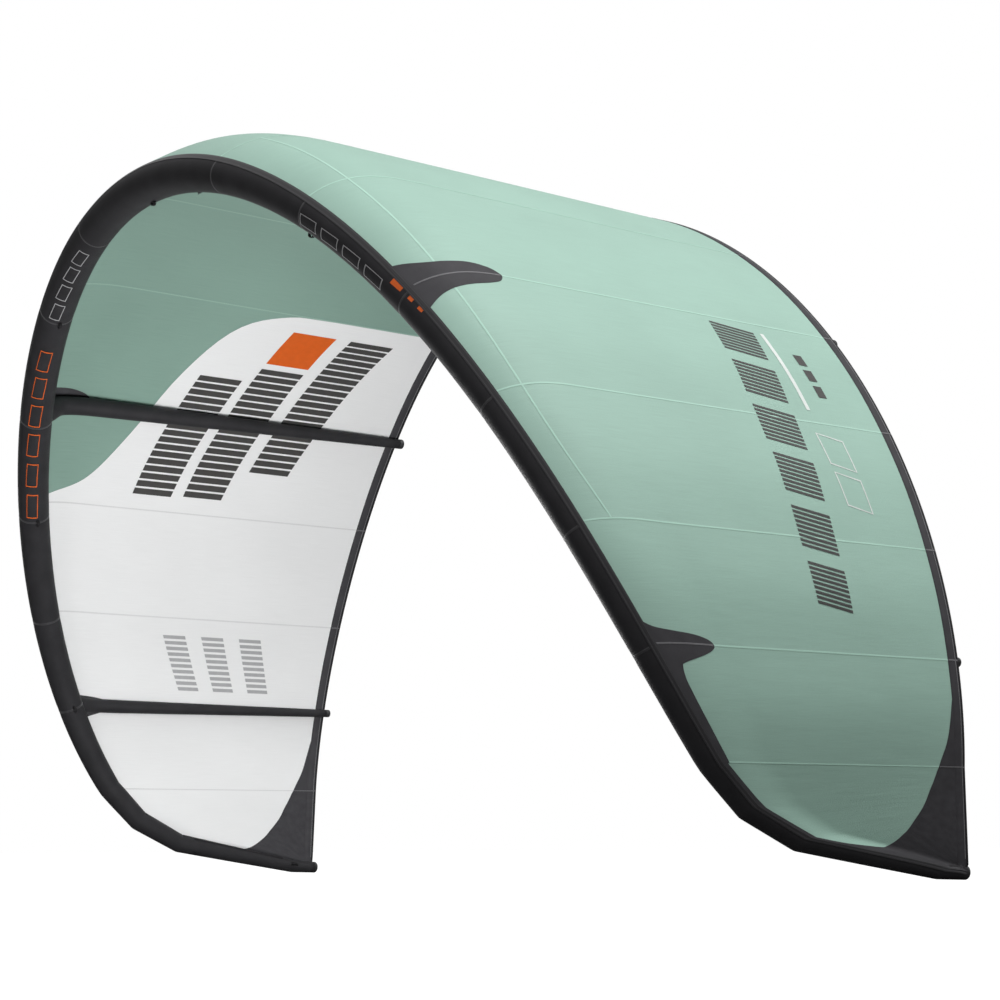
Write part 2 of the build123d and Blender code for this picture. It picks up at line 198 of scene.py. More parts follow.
class Cut:
    """A cut through the kite at s."""

    def __init__(self, s, straight=False):
        side = abs(s)
        self.s = s
        self.axis, self.trailing = axis_point(side), trailing_point(side)
        self.tangent = straight_heading(side) if straight else eased_heading(side)
        if s < 0:
            self.axis, self.trailing = (Vector((-p.x, p.y, p.z)) for p in (self.axis, self.trailing))
            self.tangent = Vector((self.tangent.x, -self.tangent.y, -self.tangent.z))
        line = self.trailing - self.axis
        self.chord, self.back = line.length, line.normalized()
        self.out = self.tangent.cross(self.back).normalized()
        self.square = self.out.cross(self.tangent).normalized()
        self.radius = tube_radius(s)
        share = side / HALF_LENGTH
        self.seam = radians(SEAM_ANGLE[0] + SEAM_ANGLE[1] * share + SEAM_ANGLE[2] * share * (1 - share))
        self.rise = SKIN_RISE[0] + SKIN_RISE[1] * (side / KNUCKLE) ** 2
        past = max(0, side - KNUCKLE) / (HALF_LENGTH - KNUCKLE)
        self.front = FRONT_SHARE[0] + FRONT_SHARE[1] * past**3
        self.controls = self.front_controls()
        self.first = (self.controls[0] - self.axis).dot(self.back) / self.chord

    def flat_point(self, along):
        """A point on the straight line that the canopy follows behind its curved front."""
        rise = self.rise * self.chord * (1 - along)
        return self.axis + self.back * (along * self.chord) + self.out * rise

    def seam_point(self, angle, lift):
        """A point over the tube, angle radians round from its outermost line, in the plane of the chord."""
        radius, slant = self.radius + lift, self.back.dot(self.square)
        return self.axis + self.out * (radius * cos(angle)) + self.back * (radius / slant * sin(angle))

    def front_controls(self):
        """The Bezier curve from the seam on the tube to the straight line."""
        start, end = self.seam_point(self.seam, GAP), self.flat_point(self.front)
        across = cos(self.seam) / self.back.dot(self.square)
        leave = (self.back * across - self.out * sin(self.seam)).normalized()
        arrive = (self.flat_point(1) - self.flat_point(0)).normalized()
        reach = (end - start).length * FRONT_HANDLE
        return start, start + leave * reach, end - arrive * reach, end

    def front_curve(self, t):
        """A point on that curve, and the direction out of the cloth there."""
        a, b, c, d = self.controls
        u = 1 - t
        point = a * u**3 + b * (3 * u * u * t) + c * (3 * u * t * t) + d * t**3
        run = (b - a) * (u * u) + (c - b) * (2 * u * t) + (d - c) * (t * t)
        return point, self.outward(run)

    def outward(self, run):
        return (self.out * run.dot(self.back) - self.back * run.dot(self.out)).normalized()

    def skin(self, along, lift=0.0):
        """A point on the canopy this share of the chord back."""
        lift += billow(self.s, along)
        if along >= self.front:
            return self.flat_point(along) + self.outward(self.flat_point(1) - self.flat_point(0)) * lift
        low, high = 0.0, 1.0
        for _ in range(16):
            t = (low + high) / 2
            here = (self.front_curve(t)[0] - self.axis).dot(self.back) / self.chord
            low, high = (t, high) if here < along else (low, t)
        point, away = self.front_curve((low + high) / 2)
        return point + away * lift

    def around(self, angle, lift=0.0):
        """A point on the leading-edge tube, angle radians round from its outermost line."""
        return self.axis + (self.out * cos(angle) + self.square * sin(angle)) * (self.radius + lift)


def billow(s, along):
    """How far the cloth swells between two seams."""
    side = abs(s)
    stops = (-C1, *SEAMS)
    for a, b in zip(stops, stops[1:]):
        if a <= side <= b:
            across = sin(pi * (side - a) / (b - a)) ** 2
            return BILLOW * across * sin(pi * min(1, max(0, along))) ** 0.7
    return 0.0


cuts = {}


def cut_at(s):
    key = round(s, 5)
    if key not in cuts:
        cuts[key] = Cut(s)
    return cuts[key]


def skin(s, along, lift=0.0):
    """A point on the canopy, or on its front seam where along lies in front of that."""
    cut = cut_at(s)
    return cut.skin(max(along, cut.first), lift)


# -------------------- mesh tools
def placed(name, data):
    """A new object in the scene."""
    obj = bpy.data.objects.new(name, data)
    bpy.context.scene.collection.objects.link(obj)
    return obj


def put(name, mesh, materials):
    """A piece that rides on the kite's body."""
    obj = placed(name, mesh)
    for material in materials:
        mesh.materials.append(material)
    for face in mesh.polygons:
        face.use_smooth = True
    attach(obj, "kite")
    return obj


def thicken(obj, thickness):
    """Gives a sheet its thickness, as real faces, and keeps its wide faces smooth up to their thin edges."""
    modifier = obj.modifiers.new("thickness", "SOLIDIFY")
    modifier.thickness = thickness
    modifier.offset = 0.0
    obj.modifiers.new("shading", "WEIGHTED_NORMAL").weight = 100
    return obj


def surface(columns, rows, point, uv, wrap=False):
    """The points, faces and UVs of columns x rows points. wrap joins the last row to the first."""
    verts = [point(i, j) for i in range(columns) for j in range(rows)]
    faces, coords = [], []
    for i in range(columns - 1):
        for j in range(rows if wrap else rows - 1):
            k = (j + 1) % rows
            faces.append((i * rows + j, i * rows + k, (i + 1) * rows + k, (i + 1) * rows + j))
            coords += [uv(i, j), uv(i, j + 1), uv(i + 1, j + 1), uv(i + 1, j)]
    return verts, faces, coords


def joined(name, surfaces, materials, picks=None):
    """One piece out of several surfaces. picks gives each face's material."""
    verts, faces, coords = [], [], []
    for more_verts, more_faces, more_coords in surfaces:
        faces += [[len(verts) + k for k in face] for face in more_faces]
        verts += more_verts
        coords += more_coords
    mesh = bpy.data.meshes.new(name)
    mesh.from_pydata(verts, [], faces)
    layer = mesh.uv_layers.new(name="UVMap")
    for loop, pair in zip(layer.data, coords):
        loop.uv = pair
    if picks:
        mesh.polygons.foreach_set("material_index", picks)
    return put(name, mesh, materials)


def sewn(name, ribbons, material, thickness=TAPE):
    """A piece of thin cloth out of several ribbons."""
    return thicken(joined(name, ribbons, [material]), thickness)


def patches(name, outlines, places, steps, material):
    """Flat outlines laid on curved surfaces: sliced every step each way, then moved by each of places."""
    flat = bmesh.new()
    for outline in outlines:
        flat.faces.new([flat.verts.new((x, y, 0)) for x, y in outline])
    flat.normal_update()
    bmesh.ops.triangulate(flat, faces=flat.faces[:])
    for axis, step in enumerate(steps):
        low, high = min(v.co[axis] for v in flat.verts), max(v.co[axis] for v in flat.verts)
        normal = Vector((1, 0, 0)) if axis == 0 else Vector((0, 1, 0))
        for i in range(ceil(low / step), ceil(high / step)):
            everything = flat.verts[:] + flat.edges[:] + flat.faces[:]
            spot = normal * (i * step)
            bmesh.ops.bisect_plane(flat, geom=everything, dist=1e-6, plane_co=spot, plane_no=normal)
    flat.verts.index_update()
    spots = [tuple(vert.co.xy) for vert in flat.verts]
    faces = [[vert.index for vert in face.verts] for face in flat.faces]
    flat.free()
    coords = [(spots[k][0], spots[k][1] * 2) for face in faces for k in face]
    sheets = [([place(x, y) for x, y in spots], faces, coords) for place in places]
    return joined(name, sheets, [material])


def spline_value(a, b, c, d, x):
    """The Catmull-Rom value this share x of the way from b to c, with a before them and d after them."""
    square, cube = 2 * a - 5 * b + 4 * c - d, 3 * b - a - 3 * c + d
    return 0.5 * (2 * b + (c - a) * x + square * x**2 + cube * x**3)


def curve_through(points, count):
    """A smooth line through points, as a Catmull-Rom spline with count stops a span."""
    before = tuple(2 * a - b for a, b in zip(points[0], points[1]))
    after = tuple(2 * a - b for a, b in zip(points[-1], points[-2]))
    line, stops = [], [before, *points, after]
    for four in zip(stops, stops[1:], stops[2:], stops[3:]):
        for i in range(count):
            line.append(tuple(spline_value(*values, i / count) for values in zip(*four)))
    return line + [tuple(points[-1])]


# -------------------- materials
THREAD_GRID, WEAVE, STITCH = 0.006, 0.0012, 0.006


def shader(name, roughness, metallic=0.0, specular=0.5, sheen=0.0):
    material = bpy.data.materials.new(name)
    material.use_nodes = True
    bsdf = material.node_tree.nodes["Principled BSDF"]
    bsdf.inputs["Roughness"].default_value = roughness
    bsdf.inputs["Metallic"].default_value = metallic
    bsdf.inputs["Specular IOR Level"].default_value = specular
    bsdf.inputs["Sheen Weight"].default_value = sheen
    return material, material.node_tree, bsdf


def node(tree, kind, **settings):
    """A new node, with each setting on the socket of that name, or else on the node itself."""
    made = tree.nodes.new(kind)
    for key, value in settings.items():
        if key in made.inputs:
            made.inputs[key].default_value = value
        else:
            setattr(made, key, value)
    return made


def scaled(tree, coordinate, scale):
    source = node(tree, "ShaderNodeTexCoord")
    mapping = node(tree, "ShaderNodeMapping", Scale=scale)
    tree.links.new(source.outputs[coordinate], mapping.inputs["Vector"])
    return mapping.outputs["Vector"]


def shade_between(tree, bsdf, value, dark, light, low=0.0, high=1.0):
    """Colours the surface by a value: dark up to low, light from high on."""
    ramp = node(tree, "ShaderNodeValToRGB")
    for stop, place, colour in zip(ramp.color_ramp.elements, (low, high), (dark, light)):
        stop.position, stop.color = place, (*colour, 1)
    tree.links.new(value, ramp.inputs["Fac"])
    tree.links.new(ramp.outputs["Color"], bsdf.inputs["Base Color"])


def combine(tree, a, b, kind="ADD"):
    """A Math node of two values, each of them a number or another node's output."""
    maths = node(tree, "ShaderNodeMath", operation=kind)
    for value, socket in ((a, maths.inputs[0]), (b, maths.inputs[1])):
        if isinstance(value, (int, float)):
            socket.default_value = value
        else:
            tree.links.new(value, socket)
    return maths.outputs[0]


def wave(tree, vector, pitch, direction):
    """Bands this many metres apart. The node itself turns once for every pi / 10 at a scale of 1."""
    made = node(tree, "ShaderNodeTexWave", bands_direction=direction, Scale=pi / 10 / pitch, Distortion=0.0)
    tree.links.new(vector, made.inputs["Vector"])
    return made.outputs["Fac"]


def noise(tree, vector, scale, detail=3.0):
    made = node(tree, "ShaderNodeTexNoise", Scale=scale, Detail=detail)
    tree.links.new(vector, made.inputs["Vector"])
    return made.outputs["Fac"]


def bump(tree, bsdf, height, strength, distance):
    made = node(tree, "ShaderNodeBump", Strength=strength, Distance=distance)
    tree.links.new(height, made.inputs["Height"])
    tree.links.new(made.outputs["Normal"], bsdf.inputs["Normal"])


def crossed(tree, vector, pitch, kind):
    """Bands both ways, along the piece and across it."""
    return combine(tree, wave(tree, vector, pitch, "X"), wave(tree, vector, pitch, "Y"), kind)


def tone(colour, factor):
    """A colour made darker or lighter."""
    return tuple(min(1, c * factor) for c in colour)


def ripstop(name, colour, unevenness):
    """Thin coated nylon: a 6 mm grid of thicker threads, faint streaks along the chord, soft wrinkles."""
    material, tree, bsdf = shader(name, 0.48, specular=0.3, sheen=0.05)
    cloth = scaled(tree, "UV", (1, 1, 1))
    threads = combine(tree, crossed(tree, cloth, THREAD_GRID, "MAXIMUM"), 24.0, "POWER")
    streaks = noise(tree, scaled(tree, "UV", (60, 1.2, 1)), 6.0, 4.0)
    clouds = noise(tree, cloth, 1.6, 2.0)
    value = combine(tree, combine(tree, streaks, 0.55, "MULTIPLY"), combine(tree, clouds, 0.45, "MULTIPLY"))
    value = combine(tree, value, combine(tree, threads, 0.12, "MULTIPLY"))
    dark, light = tone(colour, 1 - unevenness), tone(colour, 1 + 0.6 * unevenness)
    shade_between(tree, bsdf, value, dark, light, 0.3, 0.7)
    wrinkles = noise(tree, scaled(tree, "UV", (9, 2, 1)), 2.0, 3.0)
    wrinkles = combine(tree, wrinkles, 35 * unevenness, "MULTIPLY")
    bump(tree, bsdf, combine(tree, wrinkles, combine(tree, threads, 0.5, "MULTIPLY")), 0.35, 0.0012)
    return material


def sailcloth(name, colour, roughness=0.6):
    """Woven polyester: a 1.2 mm weave, a slight mottle and soft puckers."""
    material, tree, bsdf = shader(name, roughness, specular=0.14, sheen=0.02)
    cloth = scaled(tree, "UV", (1, 1, 1))
    weave = crossed(tree, cloth, WEAVE, "MULTIPLY")
    mottle = noise(tree, cloth, 9.0, 5.0)
    value = combine(tree, combine(tree, mottle, 0.7, "MULTIPLY"), combine(tree, weave, 0.3, "MULTIPLY"))
    shade_between(tree, bsdf, value, tone(colour, 0.8), tone(colour, 1.25), 0.25, 0.75)
    puckers = combine(tree, noise(tree, scaled(tree, "UV", (14, 5, 1)), 1.0, 2.0), 3.0, "MULTIPLY")
    bump(tree, bsdf, combine(tree, combine(tree, weave, 0.3, "MULTIPLY"), puckers), 0.3, 0.0008)
    return material


def stitched(name, cloth_colour, thread_colour, rows):
    """A sewn strip: thread dashes 4 mm long in rows, side by side across the strip, where v is 0 to 1."""
    material, tree, bsdf = shader(name, 0.6, specular=0.3, sheen=0.2)
    uv = node(tree, "ShaderNodeTexCoord").outputs["UV"]
    parts = node(tree, "ShaderNodeSeparateXYZ")
    tree.links.new(uv, parts.inputs[0])
    dash = combine(tree, combine(tree, parts.outputs["X"], 1 / STITCH, "MULTIPLY"), 1.0, "MODULO")
    dash = combine(tree, combine(tree, dash, 0.0, "ABSOLUTE"), 0.7, "LESS_THAN")
    row = combine(tree, combine(tree, parts.outputs["Y"], float(rows), "MULTIPLY"), 1.0, "MODULO")
    off_row = combine(tree, combine(tree, row, 0.5, "SUBTRACT"), 0.0, "ABSOLUTE")
    thread = combine(tree, dash, combine(tree, off_row, 0.16, "LESS_THAN"), "MULTIPLY")
    shade_between(tree, bsdf, thread, cloth_colour, thread_colour)
    bump(tree, bsdf, thread, 0.3, 0.0004)
    return material


def print_ink(name, colour):
    """Ink on cloth, a little worn, with the thread grid still showing through."""
    material, tree, bsdf = shader(name, 0.5, specular=0.35)
    cloth = scaled(tree, "UV", (1, 1, 1))
    threads = combine(tree, crossed(tree, cloth, THREAD_GRID, "MAXIMUM"), 24.0, "POWER")
    shade_between(tree, bsdf, noise(tree, cloth, 30.0, 4.0), tone(colour, 0.88), tone(colour, 1.1))
    bump(tree, bsdf, threads, 0.3, 0.0006)
    return material


def moulded(name, colour, roughness, metallic=0.0):
    """Moulded or cast parts: fine grain, with a slightly uneven colour."""
    material, tree, bsdf = shader(name, roughness, metallic)
    place = scaled(tree, "Object", (1, 1, 1))
    grain = noise(tree, place, 900.0, 2.0)
    shade_between(tree, bsdf, noise(tree, place, 60.0, 3.0), tone(colour, 0.85), tone(colour, 1.15))
    bump(tree, bsdf, grain, 0.25, 0.0002)
    return material


MINT = (0.350, 0.540, 0.455)
# The canopy's inner face: the same mint cloth, darkened to 0.68 as painted shade for the shadow under the
# arch
SHADED_INSIDE_MINT = tone(MINT, 0.68)
WHITE = (0.88, 0.88, 0.885)
CHARCOAL = (0.030, 0.0292, 0.032)
INK = (0.062, 0.060, 0.058)
ORANGE = (0.72, 0.12, 0.012)
PALE_INK = (0.42, 0.42, 0.43)

mint_cloth = ripstop("mint_ripstop", MINT, 0.10)
# The inner face's mint cloth, darker than the outer as painted shade
shaded_inside_mint_cloth = ripstop("mint_ripstop_inside_painted_shade", SHADED_INSIDE_MINT, 0.10)
white_cloth = ripstop("white_ripstop", WHITE, 0.05)
dacron = sailcloth("charcoal_dacron", CHARCOAL)
trim_cloth = sailcloth("charcoal_trim", tone(CHARCOAL, 1.9), 0.6)
hem_cloth = sailcloth("hem_cloth", tone(CHARCOAL, 0.7), 0.55)
mint_seam = stitched("mint_seam", tone(MINT, 1.22), tone(MINT, 1.45), 2)
# The inner face's mint seam tape, darker than the outer as painted shade
shaded_inside_mint_seam = stitched("mint_seam_inside_painted_shade", tone(SHADED_INSIDE_MINT, 1.2), tone(SHADED_INSIDE_MINT, 1.45), 2)
white_seam = stitched("white_seam", tone(WHITE, 0.86), (0.62, 0.62, 0.63), 2)
dark_seam = stitched("dark_seam", (0.09, 0.088, 0.095), (0.30, 0.30, 0.31), 2)
dark_thread = stitched("dark_thread", CHARCOAL, tone(CHARCOAL, 2.0), 2)
pale_thread = stitched("pale_thread", tone(CHARCOAL, 2.2), (0.30, 0.30, 0.31), 1)
ink = print_ink("dark_print", INK)
orange_ink = print_ink("orange_print", ORANGE)
pale_ink = print_ink("pale_print", PALE_INK)
light_ink = print_ink("light_print", (0.75, 0.80, 0.77))
webbing_cloth = sailcloth("black_webbing", tone(CHARCOAL, 0.7), 0.7)
rubber = moulded("black_rubber", (0.03, 0.03, 0.032), 0.45)
nylon = moulded("black_nylon", (0.05, 0.05, 0.054), 0.35)
silicone = moulded("grey_silicone", (0.35, 0.35, 0.35), 0.4)
steel = moulded("steel", (0.6, 0.6, 0.62), 0.25, 1.0)
zip_metal = moulded("black_zinc", (0.06, 0.06, 0.065), 0.3, 0.8)
film = moulded("bladder_film", (0.75, 0.75, 0.72), 0.3)
zip_cloth = sailcloth("zip_cloth", tone(CHARCOAL, 0.8), 0.65)


# -------------------- canopy
# The edge of the left-hand wing's white cloth: a share of the chord, and the length along the leading edge
WHITE_EDGE = (
    (0.0, 2.93), (0.1, 2.88), (0.2, 2.77), (0.3, 2.49), (0.4, 2.07),
    (0.5, 1.70), (0.6, 1.56), (0.7, 1.537), (1.0, 1.531),
)


def white_edge(along):
    """Where the left-hand wing's white cloth starts, at this share of the chord."""
    line = curve_through(WHITE_EDGE, 8)
    for (a, s), (b, t) in zip(line, line[1:]):
        if along <= b:
            return mix(s, t, max(0, along - a) / (b - a))
    return WHITE_EDGE[-1][1]


FRONT_ROWS, REAR_ROWS, FRONT_DEPTH = 40, 34, 0.3
WHITE_COLUMNS, MINT_COLUMNS = 110, 220
CLOTH_END = HALF_LENGTH - 0.015
# Beyond this s the canopy itself is dark, as it lies between two dark patches there
TIP_CLOTH_START = 5.37
# Where the seam at the first knuckle runs onto the wingtip's dark corner, as a share of the chord
TIP_SEAM_START = 0.895


def canopy():
    """The whole canopy as one sheet. One column of its points lies on the edge between the two colours."""
    rows = FRONT_ROWS + REAR_ROWS + 1
    shares = [FRONT_DEPTH * j / FRONT_ROWS for j in range(FRONT_ROWS)]
    shares += [mix(FRONT_DEPTH, 1, j / REAR_ROWS) for j in range(REAR_ROWS + 1)]
    edges = [white_edge(share) for share in shares]

    def where(i, j):
        if i <= WHITE_COLUMNS:
            s = mix(-CLOTH_END, -edges[j], i / WHITE_COLUMNS)
        else:
            s = mix(-edges[j], CLOTH_END, (i - WHITE_COLUMNS) / MINT_COLUMNS)
        return s, mix(cut_at(s).first, 1, shares[j])

    def point(i, j):
        return skin(*where(i, j), (INNER_FACE + OUTER_FACE) / 2)

    def uv(i, j):
        s, along = where(i, j)
        return s, along * cut_at(s).chord

    def colour(i, j):
        nearest = min(abs(where(a, b)[0]) for a in (i, i + 1) for b in (j, j + 1))
        return 4 if nearest > TIP_CLOTH_START else 1 if i < WHITE_COLUMNS else 0

    # The outer face takes the material two places on from the inner face's. The inner face's mint is a darker
    # copy of the outer mint, a painted shade.
    materials = [shaded_inside_mint_cloth, white_cloth, mint_cloth, white_cloth, trim_cloth, trim_cloth, trim_cloth]
    columns = WHITE_COLUMNS + MINT_COLUMNS
    picks = [colour(i, j) for i in range(columns) for j in range(rows - 1)]
    cloth = surface(columns + 1, rows, point, uv)
    obj = joined("canopy", [cloth], materials, picks)
    thicken(obj, OUTER_FACE - INNER_FACE).modifiers["thickness"].material_offset = 2
    return obj


def on_face(face, extra=0.0):
    """How far above the panels' inner face a trim lies, on the outer (1) or the inner (-1) face."""
    return OUTER_FACE + TRIM_LIFT + extra if face > 0 else INNER_FACE - TRIM_LIFT - extra


def laid(face, extra=0.0):
    """A place function for patches on the canopy."""
    return lambda s, along: skin(s, along, on_face(face, extra))


def chord_ribbon(s, start, end, face, extra=0.0):
    """A narrow tape along the chord at s."""
    rows = max(4, int(130 * (end - start)))

    def point(i, j):
        return skin(s + (i - 1) * TAPE_WIDTH / 2, mix(start, end, j / rows), on_face(face, extra))

    def uv(i, j):
        return mix(start, end, j / rows) * cut_at(s).chord, i / 2

    return surface(3, rows + 1, point, uv)


def white_start(s, start, end):
    """Where the seam at s, which runs from start to end, leaves the mint cloth for the white."""
    under_white = [k / 200 for k in range(201) if white_edge(k / 200) < -s]
    if under_white and under_white[0] <= start:
        return start
    return min([end, *[share for share in under_white if share > start]])


def panel_seams():
    """The tapes over the seams between panels, in the colour of the cloth under them."""
    for face in FACES:
        mint, white, dark = [], [], []
        for s in [side * spot for spot in SEAMS for side in SIDES]:
            start, end = cut_at(s).first + 0.004, 1 - BAND_WIDTH / cut_at(s).chord
            turn = white_start(s, start, end)
            if turn > start:
                mint.append(chord_ribbon(s, start, turn, face))
            if turn < end:
                white.append(chord_ribbon(s, turn, end, face))
            dark_start = TIP_SEAM_START if abs(s) == KNUCKLE else end + 0.002
            dark.append(chord_ribbon(s, dark_start, 0.998, face, 0.0014))
        for which, (spot, _, _) in STRUTS.items():
            for s in (-spot, spot):
                start, end = cut_at(s).first + 0.01, FIN_REACH[which] - 0.004
                dark.append(chord_ribbon(s, start, end, face, 0.0010))
        # On the inner face the mint tape is the darker copy, a painted shade
        label, mint_tape = ("outer", mint_seam) if face > 0 else ("inner", shaded_inside_mint_seam)
        sewn(f"seams_mint_{label}", mint, mint_tape)
        sewn(f"seams_white_{label}", white, white_seam)
        sewn(f"seams_dark_{label}", dark, dark_seam)


# The seam that runs beside the leading edge: s, and the share of the chord
FRONT_SEAM = ((C1, 0.062), (1.54, 0.050), (2.2, 0.040), (2.9, 0.028), (3.25, 0.030), (P2, 0.049))


def front_seams():
    """The seams that run beside the leading edge over the canopy's front, mint on mint and white on white."""
    line = curve_through(FRONT_SEAM, 20)
    turn = min(i for i, (s, along) in enumerate(line) if s > white_edge(along))

    def ribbon(side, stops):
        def point(i, j):
            s, along = stops[i]
            return skin(side * s, along + (j - 1) * TAPE_WIDTH / 2 / cut_at(s).chord, on_face(1))

        return surface(len(stops), 3, point, lambda i, j: (stops[i][0], j / 2))

    sewn("front_seams_mint", [ribbon(1, line), ribbon(-1, line[:turn + 1])], mint_seam)
    sewn("front_seams_white", [ribbon(-1, line[turn:])], white_seam)


BAND_COLUMNS, BAND_FOLD, HEM_SWELL = 361, 0.0012, 0.0008


def band_profile(chord):
    """The band's section, as (share of the chord, lift). Its hem is the six sides from the third point on."""
    wide, hem = min(BAND_WIDTH, 0.8 * chord) / chord, HEM_WIDTH / chord
    low, high = INNER_FACE - BAND_FOLD, OUTER_FACE + BAND_FOLD
    top, bottom = high + HEM_SWELL, low - HEM_SWELL
    return [
        (1 - wide, high), (1 - wide / 2, high), (1 - hem, high), (1 - hem * 0.8, top), (1 - hem * 0.2, top),
        (1 + 0.002 / chord, (low + high) / 2), (1 - hem * 0.2, bottom), (1 - hem * 0.8, bottom),
        (1 - hem, low), (1 - wide / 2, low), (1 - wide, low),
    ]


def trailing_band():
    """The folded band along the trailing edge, with a darker hem on its very edge."""
    def spot(i):
        return mix(-CLOTH_END, CLOTH_END, i / (BAND_COLUMNS - 1))

    def point(i, j):
        cut = cut_at(spot(i))
        return cut.skin(*band_profile(cut.chord)[j])

    band = surface(BAND_COLUMNS, 11, point, lambda i, j: (spot(i), 0.01 * j), wrap=True)
    picks = [1 if 2 <= j <= 7 else 0 for _ in range(BAND_COLUMNS - 1) for j in range(11)]
    cloths = [trim_cloth, hem_cloth]
    return close_ends(joined("trailing_edge_band", [band], cloths, picks))


def close_ends(obj):
    """Fills the open ends of a hose, and turns its faces outwards."""
    bm = bmesh.new()
    bm.from_mesh(obj.data)
    bmesh.ops.holes_fill(bm, edges=[edge for edge in bm.edges if edge.is_boundary])
    bmesh.ops.recalc_face_normals(bm, faces=bm.faces[:])
    bm.to_mesh(obj.data)
    bm.free()
    return obj


def band_stitching():
    """The pale line of thread between the band and its hem."""
    def ribbon(side, face):
        def spot(i):
            return side * mix(0, CLOTH_END - 0.1, i / 180)

        def point(i, j):
            s = spot(i)
            return skin(s, 1 - (HEM_WIDTH + 0.002 + 0.003 * j) / cut_at(s).chord, on_face(face, 0.0007))

        return surface(181, 2, point, lambda i, j: (spot(i), 0.25 + j * 0.5))

    ribbons = [ribbon(side, face) for side in SIDES for face in FACES]
    sewn("band_stitching", ribbons, pale_thread)


# The inner edge of the wingtip's dark corner: s, and the share of the chord
TIP_PATCH = (
    (4.250, 0.962), (4.438, 0.933), (4.565, 0.892), (4.678, 0.865), (4.781, 0.836),
    (4.947, 0.774), (5.066, 0.696), (5.190, 0.579), (5.263, 0.466), (5.311, 0.355),
    (5.335, 0.257), (5.322, 0.196), (5.20, 0.10), (5.06, 0.06),
)


def tip_patch(side):
    """The dark corner of the wingtip, on both faces."""
    last = CLOTH_END - 0.002
    corners = [(5.0, -0.02), (last, -0.02), (last, 0.999), (4.20, 0.999)]
    outline = [(side * s, along) for s, along in curve_through(TIP_PATCH, 6) + corners]
    places = [laid(face, 0.0002) for face in FACES]
    name = f"tip_cloth_{SIDE_NAMES[side]}"
    return thicken(patches(name, [outline], places, (0.04, 0.02), trim_cloth), TRIM)


# A fin ends at this share of the chord. Its two sides are given as a share of the chord and the distance
# from the strut, towards the middle of the kite and towards the wingtip.
FIN_REACH = {"inner": 0.164, "outer": 0.173}
FIN_INWARD = {
    "inner": (
        (-0.05, 0.175), (-0.02, 0.140), (0.02, 0.094), (0.06, 0.078),
        (0.11, 0.068), (0.145, 0.045), (0.159, 0.02),
    ),
    "outer": (
        (-0.05, 0.150), (-0.02, 0.108), (0.01, 0.070), (0.06, 0.052),
        (0.12, 0.040), (0.155, 0.026), (0.169, 0.012),
    ),
}
FIN_OUTWARD = {
    "inner": (
        (-0.05, 0.180), (-0.02, 0.136), (0.01, 0.100), (0.05, 0.080),
        (0.11, 0.066), (0.145, 0.045), (0.159, 0.02),
    ),
    "outer": (
        (-0.05, 0.215), (-0.015, 0.155), (0.01, 0.112), (0.05, 0.080),
        (0.11, 0.052), (0.150, 0.030), (0.169, 0.012),
    ),
}


def fin_outline(which, side):
    """One fin, up its side towards the wingtip and down the other."""
    spot, tip = STRUTS[which][0], (FIN_REACH[which], 0)
    outward = curve_through([*FIN_OUTWARD[which], tip], 4)
    inward = curve_through([*FIN_INWARD[which], tip], 4)[:-1]
    out = [(side * (spot + distance), along) for along, distance in outward]
    back = [(side * (spot - distance), along) for along, distance in reversed(inward)]
    return out + back


def fin_patches(which):
    """The fins of cloth over the canopy's front where the struts start, on both faces of both wings."""
    outlines = [fin_outline(which, side) for side in SIDES]
    places = [laid(face, 0.0002) for face in FACES]
    obj = patches(f"fin_cloth_{which}", outlines, places, (0.02, 0.01), trim_cloth)
    return thicken(obj, TRIM)


# The dark strip beside the leading edge: s, and its width
EDGE_STRIP = (
    (S2 + 0.045, 0.130), (S2 + 0.060, 0.100), (S2 + 0.085, 0.075), (S2 + 0.13, 0.058), (S2 + 0.20, 0.050),
    (K1 - 0.01, 0.040), (K1 + 0.01, 0.030), (K3, 0.028), (K3 + 0.15, 0.030),
)


def edge_strips():
    """The dark strips of canopy beside the leading edge, from the outer fins to the wingtips."""
    line = curve_through(EDGE_STRIP, 12)

    def ribbon(side, face):
        def point(i, j):
            s, width = line[i]
            cut = cut_at(side * s)
            return cut.skin(cut.first + (0.002 + width * j / 3) / cut.chord, on_face(face, 0.0002))

        return surface(len(line), 4, point, lambda i, j: (line[i][0], j * line[i][1] / 3))

    ribbons = [ribbon(side, face) for side in SIDES for face in FACES]
    sewn("edge_strips", ribbons, trim_cloth, TRIM)


# -------------------- leading edge and struts
def tube_spots(end):
    """Rings along the leading edge: evenly on the curve, and close to each knuckle so that it stays crisp."""
    spots = [K1 * i / 180 for i in range(180)]
    for a, b in ((K1, K2), (K2, K3), (K3, K4), (K4, end)):
        spots += [a - 0.006, a, a + 0.006] + [mix(a, b, x) for x in (0.25, 0.5, 0.75)]
    spots = sorted(set(round(s, 5) for s in spots + [end]))
    return [-s for s in reversed(spots[1:])] + spots


PINCH, PINCH_REACH = 0.0012, 0.04


def pinch(s):
    """How far the sleeve draws in at a seam between two of its segments."""
    near = min(abs(abs(s) - seam) for seam in SEAMS)
    return PINCH * (1 - smooth_step(near / PINCH_REACH))


def tube(name, inset, end, material):
    """The leading edge's inflated tube, this far in from its skin."""
    spots = tube_spots(end)
    rings = [Cut(s, straight=all(abs(abs(s) - k) > 1e-4 for k in (K1, K2, K3, K4))) for s in spots]

    def point(i, j):
        return rings[i].around(2 * pi * j / TUBE_SIDES, -pinch(spots[i]) - inset)

    def uv(i, j):
        return spots[i], j / TUBE_SIDES * 0.5

    hose = surface(len(spots), TUBE_SIDES, point, uv, wrap=True)
    return close_ends(joined(name, [hose], [material]))


